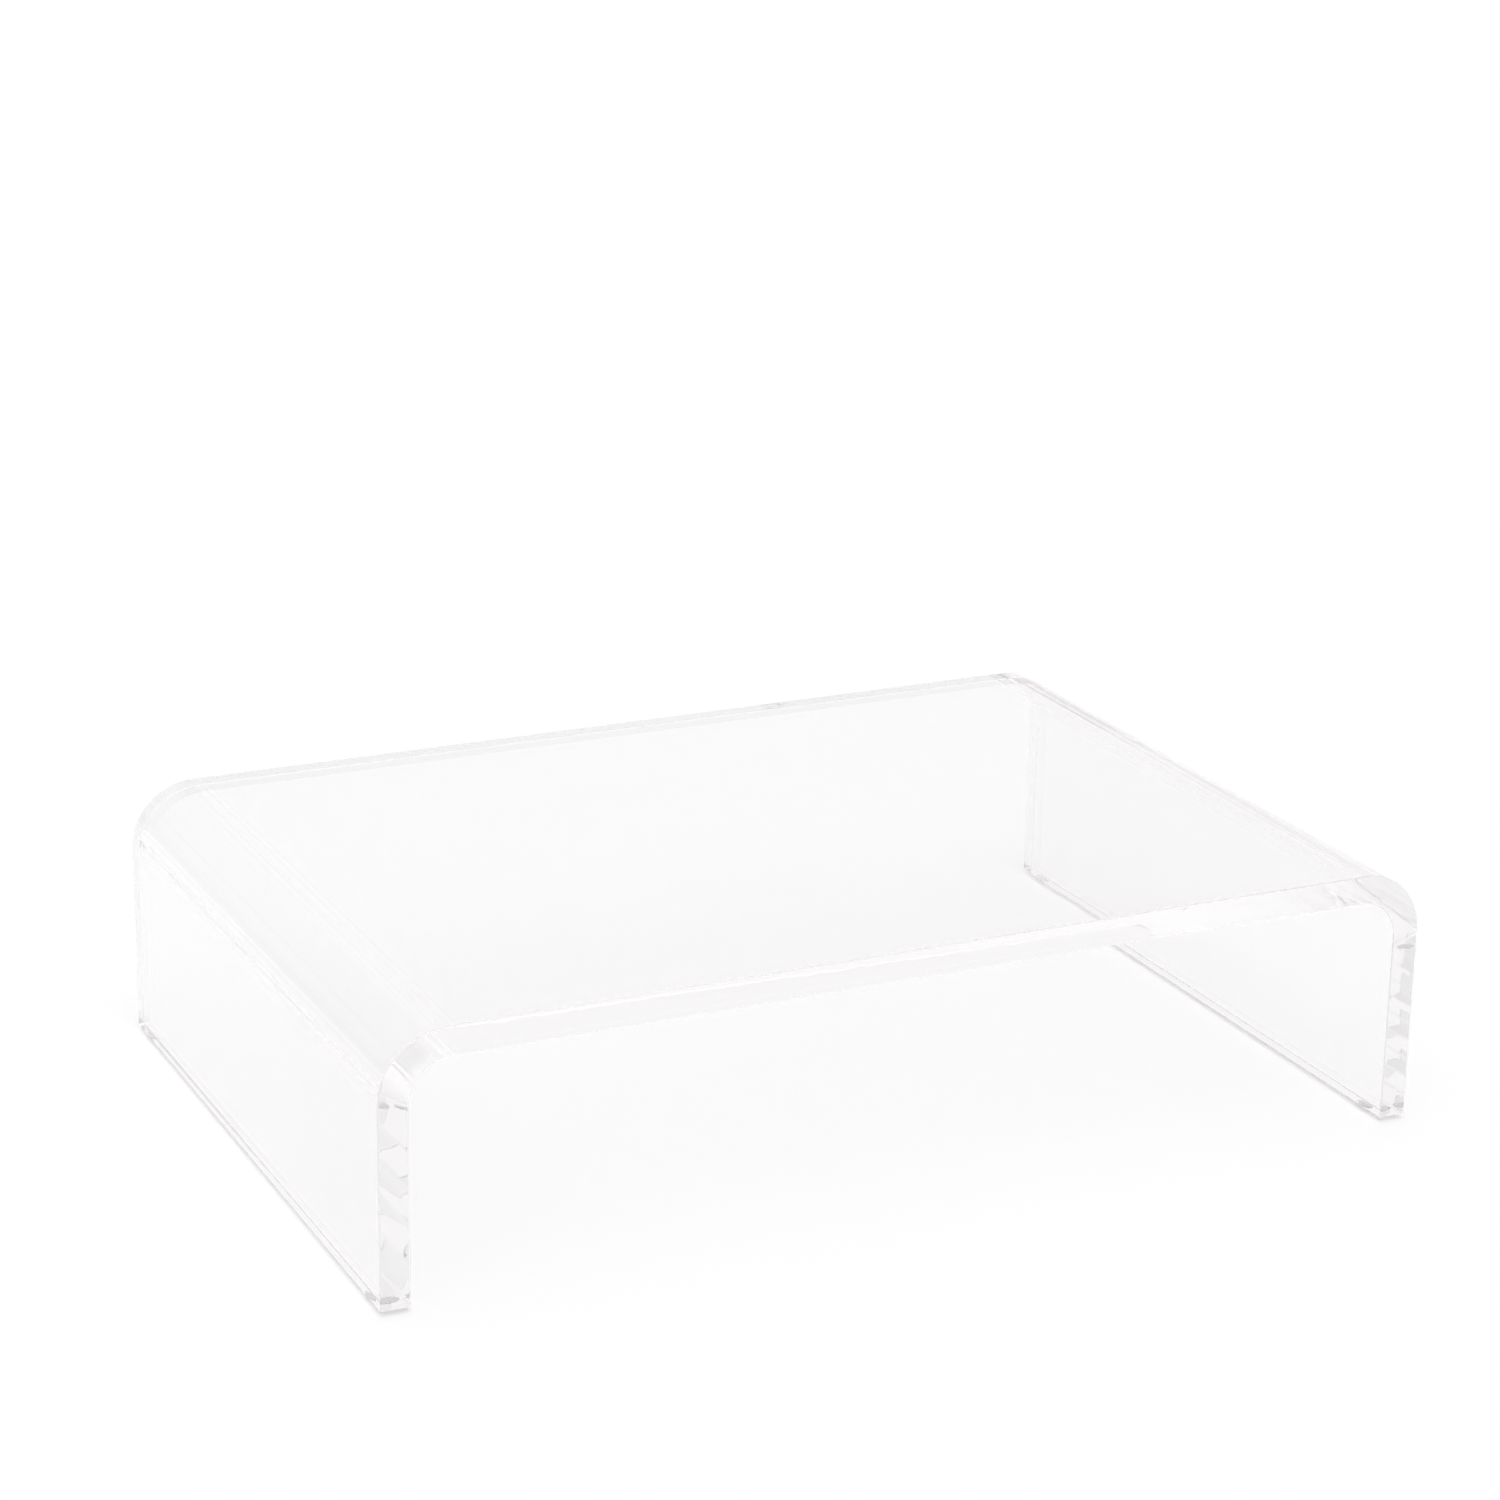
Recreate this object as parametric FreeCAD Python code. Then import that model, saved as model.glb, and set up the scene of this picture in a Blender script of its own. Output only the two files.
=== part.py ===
import FreeCAD, Part
import os

# Monitor riser stand: one clear acrylic sheet, heat-bent twice into a flat deck on two side legs,
# open at the front, at the rear and underneath. It stands on four clear stick-on bumper feet, one
# under each end of each leg.
#
# Frame: +X runs along the width to the right, +Y to the rear, +Z up. The origin is on the desk,
# under the middle of the deck. All lengths are in millimetres.

# Overall size, desk to deck top
OVERALL_WIDTH = 362.0
OVERALL_DEPTH = 241.0
OVERALL_HEIGHT = 88.9

# Acrylic sheet: 9.5 mm stock, bent to a right angle along both sides
SHEET_THICKNESS = 9.5
OUTER_BEND_RADIUS = 22.0
EDGE_BREAK = 0.4  # radius of the eased corners of the polished edges

# Bumper feet, each held by a disc of adhesive
FOOT_DIAMETER = 8.0
FOOT_TIP_DIAMETER = 7.2
FOOT_HEIGHT = 1.3
FOOT_TIP_ROUNDING = 0.35
ADHESIVE_DIAMETER = 7.6
ADHESIVE_THICKNESS = 0.2
FOOT_INSET = 12.0  # from the front or rear edge of a leg to the centre of its foot

# Worked out from the sizes above
HALF_WIDTH = OVERALL_WIDTH / 2
HALF_DEPTH = OVERALL_DEPTH / 2
INNER_BEND_RADIUS = OUTER_BEND_RADIUS - SHEET_THICKNESS
LEG_BOTTOM = FOOT_HEIGHT + ADHESIVE_THICKNESS
FOOT_X = HALF_WIDTH - SHEET_THICKNESS / 2
FOOT_Y = HALF_DEPTH - FOOT_INSET

NEAR_ZERO = 1e-6
ROOT_HALF = 0.5 ** 0.5


def bend_arc(side, radius):
    """The quarter circle of one bend, from leg to deck. side is -1 on the left and 1 on the right."""
    centre_x = side * (HALF_WIDTH - OUTER_BEND_RADIUS)
    centre_z = OVERALL_HEIGHT - OUTER_BEND_RADIUS
    leg_end = FreeCAD.Vector(centre_x + side * radius, -HALF_DEPTH, centre_z)
    middle = FreeCAD.Vector(
        centre_x + side * radius * ROOT_HALF, -HALF_DEPTH, centre_z + radius * ROOT_HALF
    )
    deck_end = FreeCAD.Vector(centre_x, -HALF_DEPTH, centre_z + radius)
    return leg_end, middle, deck_end


def sheet_profile():
    """The sheet's front edge: an arch of constant thickness, drawn in the plane of the front face."""
    left_outer = bend_arc(-1, OUTER_BEND_RADIUS)
    right_outer = bend_arc(1, OUTER_BEND_RADIUS)
    left_inner = bend_arc(-1, INNER_BEND_RADIUS)
    right_inner = bend_arc(1, INNER_BEND_RADIUS)

    def foot_of(point):
        return FreeCAD.Vector(point.x, point.y, LEG_BOTTOM)

    edges = [
        Part.makeLine(foot_of(left_outer[0]), left_outer[0]),
        Part.Arc(*left_outer).toShape(),
        Part.makeLine(left_outer[2], right_outer[2]),
        Part.Arc(*reversed(right_outer)).toShape(),
        Part.makeLine(right_outer[0], foot_of(right_outer[0])),
        Part.makeLine(foot_of(right_outer[0]), foot_of(right_inner[0])),
        Part.makeLine(foot_of(right_inner[0]), right_inner[0]),
        Part.Arc(*right_inner).toShape(),
        Part.makeLine(right_inner[2], left_inner[2]),
        Part.Arc(*reversed(left_inner)).toShape(),
        Part.makeLine(left_inner[0], foot_of(left_inner[0])),
        Part.makeLine(foot_of(left_inner[0]), foot_of(left_outer[0])),
    ]
    return Part.Face(Part.Wire(edges))


def is_cut_edge(edge):
    """True for the corners of the sheet's cut and polished rim, but not for the smooth bend lines."""
    box = edge.BoundBox
    on_front_or_rear = box.YLength < NEAR_ZERO
    on_leg_bottom = box.ZLength < NEAR_ZERO and abs(box.ZMin - LEG_BOTTOM) < NEAR_ZERO
    return on_front_or_rear or on_leg_bottom


def riser_sheet():
    """The bent sheet, with the sharp corners of its whole rim eased."""
    solid = sheet_profile().extrude(FreeCAD.Vector(0, OVERALL_DEPTH, 0))
    cut_edges = [edge for edge in solid.Edges if is_cut_edge(edge)]
    return solid.makeFillet(EDGE_BREAK, cut_edges)


def bumper_foot(x, y):
    """A moulded disc, wide where it sticks to the leg, with a rounded tip on the desk."""
    cone = Part.makeCone(
        FOOT_TIP_DIAMETER / 2, FOOT_DIAMETER / 2, FOOT_HEIGHT, FreeCAD.Vector(x, y, 0)
    )
    tip_edges = [edge for edge in cone.Edges if edge.BoundBox.ZMax < NEAR_ZERO]
    return cone.makeFillet(FOOT_TIP_ROUNDING, tip_edges)


def adhesive_disc(x, y):
    """The thin double-sided disc between a foot and the leg's bottom edge."""
    return Part.makeCylinder(
        ADHESIVE_DIAMETER / 2, ADHESIVE_THICKNESS, FreeCAD.Vector(x, y, FOOT_HEIGHT)
    )


def all_parts():
    """Every node of the stand, by name."""
    parts = {"riser_sheet": riser_sheet()}
    for end, y in (("front", -FOOT_Y), ("rear", FOOT_Y)):
        for side, x in (("left", -FOOT_X), ("right", FOOT_X)):
            parts[f"foot_{end}_{side}"] = bumper_foot(x, y)
            parts[f"adhesive_{end}_{side}"] = adhesive_disc(x, y)
    return parts


os.makedirs("parts", exist_ok=True)
for name, shape in all_parts().items():
    shape.exportStep(f"parts/{name}.step")
    print(f"{name}: valid {shape.isValid()}, volume {shape.Volume:.1f} mm3")
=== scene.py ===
import math

import bmesh
import bpy
from mathutils import Matrix, Vector


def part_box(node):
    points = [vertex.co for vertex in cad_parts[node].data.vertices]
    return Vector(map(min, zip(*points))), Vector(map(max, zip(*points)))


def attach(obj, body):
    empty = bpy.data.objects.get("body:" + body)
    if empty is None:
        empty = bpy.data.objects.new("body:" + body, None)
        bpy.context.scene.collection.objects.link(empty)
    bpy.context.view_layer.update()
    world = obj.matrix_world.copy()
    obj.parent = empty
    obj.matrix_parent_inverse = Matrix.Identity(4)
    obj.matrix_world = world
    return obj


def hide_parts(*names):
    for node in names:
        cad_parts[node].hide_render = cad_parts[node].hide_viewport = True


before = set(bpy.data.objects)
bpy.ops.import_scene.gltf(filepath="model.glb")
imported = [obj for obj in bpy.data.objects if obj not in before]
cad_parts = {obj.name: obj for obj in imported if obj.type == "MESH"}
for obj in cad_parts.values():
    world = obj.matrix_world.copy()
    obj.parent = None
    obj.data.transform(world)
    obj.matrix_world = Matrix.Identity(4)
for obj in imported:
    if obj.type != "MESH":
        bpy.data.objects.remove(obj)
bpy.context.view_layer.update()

# A clear riser: one acrylic sheet bent into a deck on two legs, on four bumpers held by adhesive.
# Each piece is swept or turned here, to fit the CAD node that it replaces. Lengths are in metres,
# along the frame's axes: +X to the right seen from the front, +Y to the rear, +Z up.

sheet_low, sheet_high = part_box("riser_sheet")

# The sheet
THICKNESS = 0.0095
OUTER_BEND_RADIUS = 0.022
EASED_CORNER = 0.0004
HALF_WIDTH = (sheet_high.x - sheet_low.x) / 2
HALF_DEPTH = (sheet_high.y - sheet_low.y) / 2
LEG_BOTTOM = sheet_low.z
DECK_TOP = sheet_high.z

# Lengths along its outer face, from the end of one leg to the end of the other
LEG_LENGTH = DECK_TOP - OUTER_BEND_RADIUS - LEG_BOTTOM
ARC_LENGTH = OUTER_BEND_RADIUS * math.pi / 2
DECK_LENGTH = 2 * (HALF_WIDTH - OUTER_BEND_RADIUS)
FULL_LENGTH = 2 * (LEG_LENGTH + ARC_LENGTH) + DECK_LENGTH

# What heat-bending does to it
HEAT_MARGIN = 0.005  # the softened strip runs this far past each end of a bend
BEND_SWELL = 0.0005  # the inner face is squeezed up by this much in the middle of a bend
RIM_BULGE = 0.0003  # the rim is squeezed out by this much on the inside of a bend
RIM_DRAW_IN = 0.5  # and drawn in on the outside of the bend by this share of the bulge
HEAT_LINE_DEPTH = 0.00006
HEAT_LINE_WIDTH = 0.0005
BEND_RIPPLE_DEPTH = 0.00004
BEND_RIPPLE_LENGTHS = (0.0051, 0.0037)

# Sections along the sheet
FINE_STEP = 0.0004
FINE_MARGIN = 2 * HEAT_MARGIN  # sections stay a fine step apart up to this far past each bend
COARSENING = 3  # past that, the step is the distance to the fine stretch divided by this
COARSE_STEP = 0.008

# Columns of points round each section
CORNER_STEPS = 4
RIM_COLUMNS = 6
FACE_COLUMNS = 12
SMALLEST_CORNER = EASED_CORNER * 0.15  # left of the rounding where a section is drawn in fully
CORNER_SUPPORT = 0.00006  # from a rounding to the next column, so that the flat beyond is shaded flat

# Bumpers, with the tip in shares of their own radius and height, and the adhesive
TIP_RADIUS_SHARE = 0.9
TIP_ROUNDING_SHARE = 0.27
TIP_DISH_SHARE = 0.06
TIP_DISH_RINGS = (0.6, 0.3)
SHOULDER_ROUNDING = 0.0001
SHOULDER_SUPPORT = 0.0003  # from the side to a ring that keeps the top face shaded flat
ADHESIVE_GRIP = 0.00005  # the adhesive sinks this far into the leg and into the bumper
TURNED_STEPS = 48

# Refraction, and the colour that light takes on inside the sheet
ACRYLIC_IOR = 1.49
POLYURETHANE_IOR = 1.5
ADHESIVE_IOR = 1.47
ACRYLIC_ABSORPTION = (0.82, 0.74, 0.77)
ACRYLIC_DENSITY = 0.35

# Camera: its place in widths of the object from the middle of the sheet's underside, angles in radians
CAMERA_PLACE = Vector((-1.458, -2.969, 1.416))
CAMERA_YAW = 0.4527
CAMERA_PITCH = 0.3213
CAMERA_ROLL = 0.0175
CAMERA_LENS_MM = 91.5
CAMERA_SENSOR_MM = 36

# Studio
FLOOR_SIZE = 16.0
SKY_AT_HORIZON = (0.95, 0.946, 0.948)
SKY_OVERHEAD = (1.04, 1.04, 1.04)
SKY_BEHIND_CAMERA = 0.45
GLOW_FROM = Vector((-0.2, -0.3, 1))
GLOW_EDGE = math.radians(55)
GLOW_STRENGTH = 1.05
LIGHT_BOUNCES = 400  # light runs the length of the sheet between its faces, as in a light guide


# ---------------------------------------------------------------- the bent sheet


def outer_place(distance):
    """Point and outward normal, in X and Z, this far along the outer face from the left leg's end."""
    if distance > FULL_LENGTH / 2:
        point, normal = outer_place(FULL_LENGTH - distance)
        return Vector((-point.x, point.y)), Vector((-normal.x, normal.y))
    if distance <= LEG_LENGTH:
        return Vector((-HALF_WIDTH, LEG_BOTTOM + distance)), Vector((-1, 0))
    if distance <= LEG_LENGTH + ARC_LENGTH:
        turn = (distance - LEG_LENGTH) / OUTER_BEND_RADIUS
        normal = Vector((-math.cos(turn), math.sin(turn)))
        centre = Vector((OUTER_BEND_RADIUS - HALF_WIDTH, DECK_TOP - OUTER_BEND_RADIUS))
        return centre + OUTER_BEND_RADIUS * normal, normal
    along = distance - LEG_LENGTH - ARC_LENGTH
    return Vector((OUTER_BEND_RADIUS - HALF_WIDTH + along, DECK_TOP)), Vector((0, 1))


def from_nearer_end(distance):
    return min(distance, FULL_LENGTH - distance)


def past_bend(distance):
    """How far a place on the sheet is from the nearer bend; below zero inside it."""
    bend_middle = LEG_LENGTH + ARC_LENGTH / 2
    return abs(from_nearer_end(distance) - bend_middle) - ARC_LENGTH / 2


def softness(distance):
    """1 in the middle of a bend, falling smoothly to 0 at the edge of the heated strip."""
    inside = (HEAT_MARGIN - past_bend(distance)) / (HEAT_MARGIN + ARC_LENGTH / 2)
    inside = min(max(inside, 0), 1)
    return inside * inside * (3 - 2 * inside)


def heated(distance):
    """1 in a bend, falling to 0 at the edge of the heated strip beside it."""
    return min(max(1 - past_bend(distance) / HEAT_MARGIN, 0), 1)


def heat_line(distance):
    """Depth of the faint groove beside each bend, where the deck was clamped while the leg was swung."""
    clamped = LEG_LENGTH + ARC_LENGTH + HEAT_MARGIN / 2
    away = (from_nearer_end(distance) - clamped) / HEAT_LINE_WIDTH
    return HEAT_LINE_DEPTH * math.exp(-away * away)


def bend_ripple(distance):
    """Depth of the slight ripples, along the bend, that the sheet keeps from being formed by hand."""
    along = from_nearer_end(distance)
    waves = sum(math.sin(2 * math.pi * along / length) for length in BEND_RIPPLE_LENGTHS)
    return BEND_RIPPLE_DEPTH * softness(distance) * (1 + waves / len(BEND_RIPPLE_LENGTHS))


def quarter_turns():
    return [math.pi / 2 * step / CORNER_STEPS for step in range(CORNER_STEPS + 1)]


def rounded_corner(radius):
    """Points round a right-angled corner, as distances from its first side and from its second side."""
    return [(radius * (1 - math.sin(a)), radius * (1 - math.cos(a))) for a in quarter_turns()]


def flat_columns(length, count):
    """Places along a flat of this length between two roundings, with a support next to each rounding."""
    even = [length * k / count for k in range(1, count)]
    return [CORNER_SUPPORT] + even + [length - CORNER_SUPPORT]


def rim_profile(corner):
    """The rim's points from outer to inner face, as (distance in from the rim, depth) pairs."""
    rounding = rounded_corner(corner)
    flat = [(0, corner + along) for along in flat_columns(THICKNESS - 2 * corner, RIM_COLUMNS)]
    return rounding + flat + [(inwards, THICKNESS - depth) for inwards, depth in reversed(rounding)]


def section(distance, inset):
    """A ring of points round the sheet, drawn in by inset all round, and which of them are on a rim."""
    point, normal = outer_place(distance)
    soft = softness(distance)
    groove = heat_line(distance) + bend_ripple(distance)
    thickness = THICKNESS + BEND_SWELL * soft - 2 * groove - 2 * inset
    corner = max(EASED_CORNER - inset, SMALLEST_CORNER)

    def half_depth(share):
        """Half the sheet's depth, at this share of the way from its outer to its inner face."""
        bulge = soft * ((1 + RIM_DRAW_IN) * share - RIM_DRAW_IN)
        return HALF_DEPTH - inset - RIM_BULGE * (1 - bulge)

    def place(y, share):
        """The point at y, at this share of the way from the outer to the inner face."""
        flat = point - normal * (groove + inset + thickness * share)
        return Vector((flat.x, y, flat.y))

    rim = [(inwards, depth / THICKNESS) for inwards, depth in rim_profile(corner)]
    front = [place(inwards - half_depth(share), share) for inwards, share in rim]
    rear = [place(half_depth(share) - inwards, share) for inwards, share in reversed(rim)]
    across = [along / (2 * HALF_DEPTH) for along in flat_columns(2 * HALF_DEPTH, FACE_COLUMNS)]
    inner = [front[-1].lerp(rear[0], part) for part in across]
    outer = [rear[-1].lerp(front[0], part) for part in across]
    on_rim = [1.0] * len(front) + [0.0] * len(inner) + [1.0] * len(rear) + [0.0] * len(outer)
    return front + inner + rear + outer, on_rim


def section_stations():
    """(distance, inset) of each section: eased at the legs' ends, and close together round the bends."""
    half = list(reversed(rounded_corner(EASED_CORNER)))
    distance = EASED_CORNER + CORNER_SUPPORT
    while distance < FULL_LENGTH / 2 - FINE_STEP:
        half.append((distance, 0))
        clear = past_bend(distance) - FINE_MARGIN
        distance += min(max(clear / COARSENING, FINE_STEP), COARSE_STEP)
    half.append((FULL_LENGTH / 2, 0))
    return half + [(FULL_LENGTH - distance, inset) for distance, inset in reversed(half[:-1])]


def bent_sheet():
    """The whole sheet as one closed mesh, swept section by section from leg end to leg end."""
    vertices, rings = [], []
    values = {"rim": [], "heated": []}
    for distance, inset in section_stations():
        ring, on_rim = section(distance, inset)
        rings.append(range(len(vertices), len(vertices) + len(ring)))
        vertices += ring
        values["rim"] += [1.0] * len(ring) if inset else on_rim
        values["heated"] += [heated(distance)] * len(ring)
    faces = [tuple(rings[0]), tuple(reversed(rings[-1]))]
    for here, there in zip(rings, rings[1:]):
        for step in range(len(here)):
            following = (step + 1) % len(here)
            faces.append((here[step], there[step], there[following], here[following]))
    piece = new_object("bent_sheet", vertices, faces)
    for name, numbers in values.items():
        piece.data.attributes.new(name, "FLOAT", "POINT").data.foreach_set("value", numbers)
    return piece


# ---------------------------------------------------------------- feet


def bumper(node):
    """A moulded clear bumper: rounded shoulder, tapered side, and a rounded, slightly dished tip."""
    low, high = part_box(node)
    radius, height = (high.x - low.x) / 2, high.z - low.z
    tip = radius * TIP_RADIUS_SHARE
    dish = height * TIP_DISH_SHARE
    shoulder_rounding = rounded_corner(SHOULDER_ROUNDING)
    tip_rounding = rounded_corner(height * TIP_ROUNDING_SHARE)
    profile = [(0, high.z), (radius - SHOULDER_SUPPORT, high.z)]
    profile += [(radius - inwards, high.z - down) for inwards, down in shoulder_rounding]
    profile += [(tip - inwards, low.z + up) for up, inwards in tip_rounding]
    profile += [(tip * share, low.z + dish * (1 - share * share)) for share in TIP_DISH_RINGS]
    profile.append((0, low.z + dish))
    return turned(f"bumper_{node}", (low + high) / 2, profile)


def adhesive_layer(node):
    """A soft disc that sinks a little into the leg above and the bumper below, with a rounded edge."""
    low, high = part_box(node)
    radius = (high.x - low.x) / 2
    top, bottom = high.z + ADHESIVE_GRIP, low.z - ADHESIVE_GRIP
    middle, half = (top + bottom) / 2, (top - bottom) / 2
    angles = [quarter - math.pi / 2 for quarter in quarter_turns()] + quarter_turns()[1:]
    edge = [(radius - half * (1 - math.cos(a)), middle - half * math.sin(a)) for a in angles]
    return turned(f"layer_{node}", (low + high) / 2, [(0, top)] + edge + [(0, bottom)])


# ---------------------------------------------------------------- mesh helpers


def new_object(name, vertices, faces):
    """A smooth-shaded mesh in the scene, with its normals outwards."""
    mesh = bpy.data.meshes.new(name)
    mesh.from_pydata(vertices, [], faces)
    shell = bmesh.new()
    shell.from_mesh(mesh)
    bmesh.ops.recalc_face_normals(shell, faces=shell.faces)
    shell.to_mesh(mesh)
    shell.free()
    mesh.shade_smooth()
    piece = bpy.data.objects.new(name, mesh)
    bpy.context.scene.collection.objects.link(piece)
    return piece


def turned(name, centre, profile):
    """A closed piece turned about a vertical axis. profile has (radius, height) pairs, axis to axis."""
    vertices = [(centre.x, centre.y, profile[0][1])]
    for radius, height in profile[1:-1]:
        for step in range(TURNED_STEPS):
            angle = 2 * math.pi * step / TURNED_STEPS
            x = centre.x + radius * math.cos(angle)
            y = centre.y + radius * math.sin(angle)
            vertices.append((x, y, height))
    vertices.append((centre.x, centre.y, profile[-1][1]))
    ring_starts = [1 + ring * TURNED_STEPS for ring in range(len(profile) - 2)]
    last_start = ring_starts[-1]
    faces = []
    for step in range(TURNED_STEPS):
        following = (step + 1) % TURNED_STEPS
        faces.append((0, 1 + step, 1 + following))
        for here, there in zip(ring_starts, ring_starts[1:]):
            faces.append((here + step, there + step, there + following, here + following))
        faces.append((len(vertices) - 1, last_start + following, last_start + step))
    return new_object(name, vertices, faces)


# ---------------------------------------------------------------- node helpers


class Nodes:
    """A node tree, with short ways to add and join nodes."""

    def __init__(self, tree):
        self.tree = tree

    def add(self, kind):
        return self.tree.nodes.new(kind)

    def feed(self, value, socket):
        """Joins a node's output to a socket, or sets the socket to a plain number or colour."""
        if isinstance(value, bpy.types.NodeSocket):
            self.tree.links.new(value, socket)
        elif isinstance(value, tuple):
            socket.default_value = (*value, 1)
        else:
            socket.default_value = value

    def attribute(self, name):
        """A value that the mesh carries at each of its points."""
        node = self.add("ShaderNodeAttribute")
        node.attribute_name = name
        return node.outputs["Fac"]

    def noise(self, per_metre, detail=2.0, stretch=(1, 1, 1)):
        """Noise over the object in metres; stretch packs it closer along some axes than along others."""
        mapping = self.add("ShaderNodeMapping")
        mapping.inputs["Scale"].default_value = stretch
        self.feed(self.add("ShaderNodeTexCoord").outputs["Object"], mapping.inputs["Vector"])
        texture = self.add("ShaderNodeTexNoise")
        texture.inputs["Scale"].default_value = per_metre
        texture.inputs["Detail"].default_value = detail
        self.feed(mapping.outputs["Vector"], texture.inputs["Vector"])
        return texture.outputs["Fac"]

    def spread(self, value, old_range, new_range, ease="LINEAR"):
        """Maps value from the old range onto the new range, and holds it at the new range's ends."""
        node = self.add("ShaderNodeMapRange")
        node.interpolation_type = ease
        self.feed(value, node.inputs["Value"])
        for ends, kind in ((old_range, "From"), (new_range, "To")):
            node.inputs[f"{kind} Min"].default_value = ends[0]
            node.inputs[f"{kind} Max"].default_value = ends[1]
        return node.outputs["Result"]

    def calculate(self, operation, first, second):
        node = self.add("ShaderNodeMath")
        node.operation = operation
        self.feed(first, node.inputs[0])
        self.feed(second, node.inputs[1])
        return node.outputs["Value"]

    def along(self, direction, axis):
        """The part of a direction that lies along an axis of unit length."""
        node = self.add("ShaderNodeVectorMath")
        node.operation = "DOT_PRODUCT"
        self.feed(direction, node.inputs[0])
        node.inputs[1].default_value = axis
        return node.outputs["Value"]

    def between(self, factor, low_colour, high_colour):
        """The mix of two colours, each of them plain or a node's output."""
        node = self.add("ShaderNodeMix")
        node.data_type = "RGBA"
        self.feed(factor, node.inputs["Factor"])
        self.feed(low_colour, node.inputs["A"])
        self.feed(high_colour, node.inputs["B"])
        return node.outputs["Result"]

    def bump(self, height, depth, after=None):
        """Relief of this depth in metres; after is the normal of the relief that it adds to."""
        node = self.add("ShaderNodeBump")
        node.inputs["Strength"].default_value = 1.0
        node.inputs["Distance"].default_value = depth
        self.feed(height, node.inputs["Height"])
        if after is not None:
            self.feed(after, node.inputs["Normal"])
        return node.outputs["Normal"]


class Finish(Nodes):
    """A material with one Principled shader."""

    def __init__(self, name):
        self.material = bpy.data.materials.new(name)
        self.material.use_nodes = True
        super().__init__(self.material.node_tree)
        self.tree.nodes.clear()
        self.output = self.add("ShaderNodeOutputMaterial")
        self.shader = self.add("ShaderNodeBsdfPrincipled")
        self.feed(self.shader.outputs["BSDF"], self.output.inputs["Surface"])

    def set(self, socket_name, value):
        self.feed(value, self.shader.inputs[socket_name])


# ---------------------------------------------------------------- materials


def clear_acrylic():
    """Cast acrylic: glossy faces, flame-polished rims, and a little less gloss where it was heated."""
    finish = Finish("cast_acrylic")
    rim = finish.attribute("rim")
    finish.set("Transmission Weight", 1.0)
    finish.set("IOR", ACRYLIC_IOR)
    face_tint = finish.between(finish.noise(14), (0.958, 0.951, 0.955), (0.971, 0.965, 0.968))
    finish.set("Base Color", finish.between(rim, face_tint, (0.99, 0.985, 0.987)))
    wiping_marks = finish.noise(90, detail=3, stretch=(30, 1, 30))
    hairlines = finish.spread(wiping_marks, (0.6, 0.75), (0.0, 0.03))
    haze = finish.spread(finish.noise(60), (0.3, 0.7), (0.02, 0.05))
    heat_haze = finish.calculate("MULTIPLY", haze, finish.attribute("heated"))
    finish.set("Roughness", finish.calculate("ADD", hairlines, heat_haze))
    waviness = finish.bump(finish.noise(16, detail=1), 0.00006)
    polishing_marks = finish.calculate("MULTIPLY", finish.noise(160), rim)
    finish.set("Normal", finish.bump(polishing_marks, 0.00003, after=waviness))
    absorption = finish.add("ShaderNodeVolumeAbsorption")
    finish.feed(ACRYLIC_ABSORPTION, absorption.inputs["Color"])
    finish.feed(ACRYLIC_DENSITY, absorption.inputs["Density"])
    finish.feed(absorption.outputs["Volume"], finish.output.inputs["Volume"])
    return finish.material


def clear_bumper():
    """Soft clear polyurethane, faintly cloudy."""
    finish = Finish("bumper_polyurethane")
    finish.set("Transmission Weight", 1.0)
    finish.set("IOR", POLYURETHANE_IOR)
    tint = finish.between(finish.noise(500), (0.88, 0.875, 0.875), (0.95, 0.945, 0.945))
    finish.set("Base Color", tint)
    finish.set("Roughness", finish.spread(finish.noise(900, detail=3), (0.3, 0.7), (0.18, 0.35)))
    finish.set("Normal", finish.bump(finish.noise(1500), 0.00001))
    return finish.material


def clear_adhesive():
    """A clear tacky layer, clouded by fine trapped air."""
    finish = Finish("adhesive_film")
    finish.set("Transmission Weight", 1.0)
    finish.set("IOR", ADHESIVE_IOR)
    trapped_air = finish.noise(900, detail=3)
    finish.set("Base Color", finish.between(trapped_air, (0.86, 0.85, 0.85), (0.96, 0.955, 0.955)))
    finish.set("Roughness", finish.spread(finish.noise(1400), (0.3, 0.7), (0.3, 0.6)))
    finish.set("Normal", finish.bump(finish.noise(2500), 0.00001))
    return finish.material


def pale_floor():
    finish = Finish("pale_floor")
    tint = finish.between(finish.noise(3, detail=4), (0.9, 0.9, 0.9), (0.92, 0.92, 0.92))
    finish.set("Base Color", tint)
    finish.set("Roughness", 0.7)
    finish.set("Specular IOR Level", 0.0)
    return finish.material


# ---------------------------------------------------------------- studio


def make_camera():
    """At the photograph's viewing angle."""
    ahead = Vector((
        math.sin(CAMERA_YAW) * math.cos(CAMERA_PITCH),
        math.cos(CAMERA_YAW) * math.cos(CAMERA_PITCH),
        -math.sin(CAMERA_PITCH),
    ))
    level_right = Vector((math.cos(CAMERA_YAW), -math.sin(CAMERA_YAW), 0))
    level_up = level_right.cross(ahead)
    right = level_right * math.cos(CAMERA_ROLL) + level_up * math.sin(CAMERA_ROLL)
    up = level_up * math.cos(CAMERA_ROLL) - level_right * math.sin(CAMERA_ROLL)
    data = bpy.data.cameras.new("camera")
    data.lens = CAMERA_LENS_MM
    data.sensor_width = CAMERA_SENSOR_MM
    camera = bpy.data.objects.new("camera", data)
    turn = Matrix((right, up, -ahead)).transposed()
    place = CAMERA_PLACE * 2 * HALF_WIDTH + Vector((0, 0, LEG_BOTTOM))
    camera.matrix_world = Matrix.Translation(place) @ turn.to_4x4()
    bpy.context.scene.collection.objects.link(camera)
    bpy.context.scene.camera = camera


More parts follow.
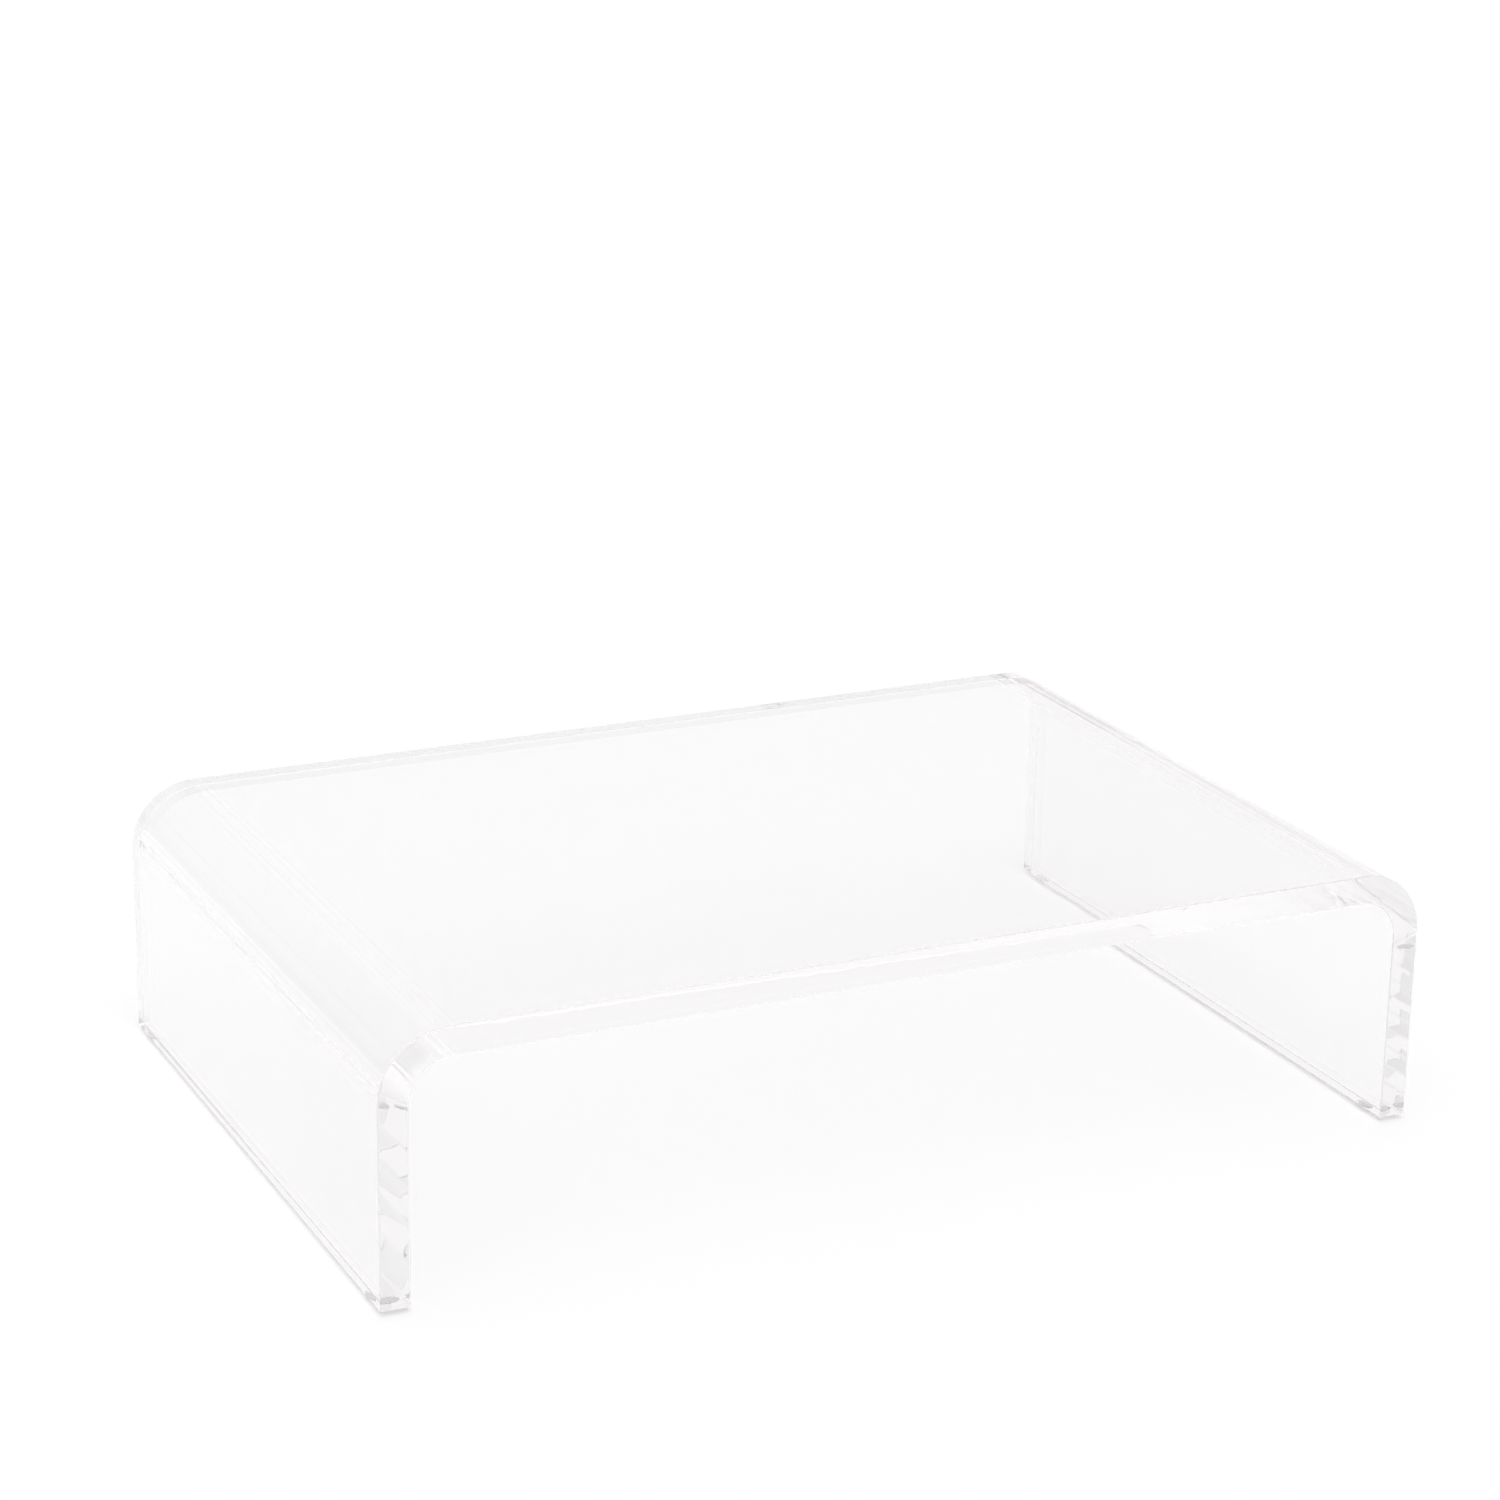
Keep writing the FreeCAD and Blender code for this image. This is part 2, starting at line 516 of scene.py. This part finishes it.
def make_floor():
    half = FLOOR_SIZE / 2
    corners = [(-half, -half, 0), (half, -half, 0), (half, half, 0), (-half, half, 0)]
    floor = new_object("floor", corners, [(0, 1, 2, 3)])
    floor.data.materials.append(pale_floor())


def make_sky():
    """Soft light from all round, dimmer behind the camera, with a broad glow nearly overhead."""
    world = bpy.data.worlds.new("studio")
    bpy.context.scene.world = world
    world.use_nodes = True
    nodes = Nodes(world.node_tree)
    background = world.node_tree.nodes["Background"]
    direction = nodes.add("ShaderNodeTexCoord").outputs["Generated"]
    height = nodes.along(direction, (0, 0, 1))
    nodes.feed(nodes.between(height, SKY_AT_HORIZON, SKY_OVERHEAD), background.inputs["Color"])
    towards_back = nodes.along(direction, (math.sin(CAMERA_YAW), math.cos(CAMERA_YAW), 0))
    evenness = nodes.spread(towards_back, (-1, 1), (SKY_BEHIND_CAMERA, 1))
    towards_glow = nodes.along(direction, GLOW_FROM.normalized())
    glow_range = (math.cos(GLOW_EDGE), 1)
    glow = nodes.spread(towards_glow, glow_range, (0, GLOW_STRENGTH), ease="SMOOTHSTEP")
    nodes.feed(nodes.calculate("ADD", evenness, glow), background.inputs["Strength"])


def set_up_render():
    """Plain colours, sharp reflections, and enough bounces for the light that runs inside the sheet."""
    scene = bpy.context.scene
    scene.view_settings.view_transform = "Standard"
    scene.cycles.blur_glossy = 0
    scene.cycles.max_bounces = LIGHT_BOUNCES
    scene.cycles.glossy_bounces = LIGHT_BOUNCES
    scene.cycles.transmission_bounces = LIGHT_BOUNCES


make_camera()
make_floor()
make_sky()
set_up_render()

# ---------------------------------------------------------------- pieces


def fit_piece(piece, node, finish):
    """Puts a finished piece in the place of a CAD node."""
    piece.data.materials.append(finish)
    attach(piece, "root")
    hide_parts(node)


fit_piece(bent_sheet(), "riser_sheet", clear_acrylic())
bumper_finish = clear_bumper()
adhesive_finish = clear_adhesive()
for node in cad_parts:
    if node.startswith("foot_"):
        fit_piece(bumper(node), node, bumper_finish)
    if node.startswith("adhesive_"):
        fit_piece(adhesive_layer(node), node, adhesive_finish)

bpy.context.view_layer.update()
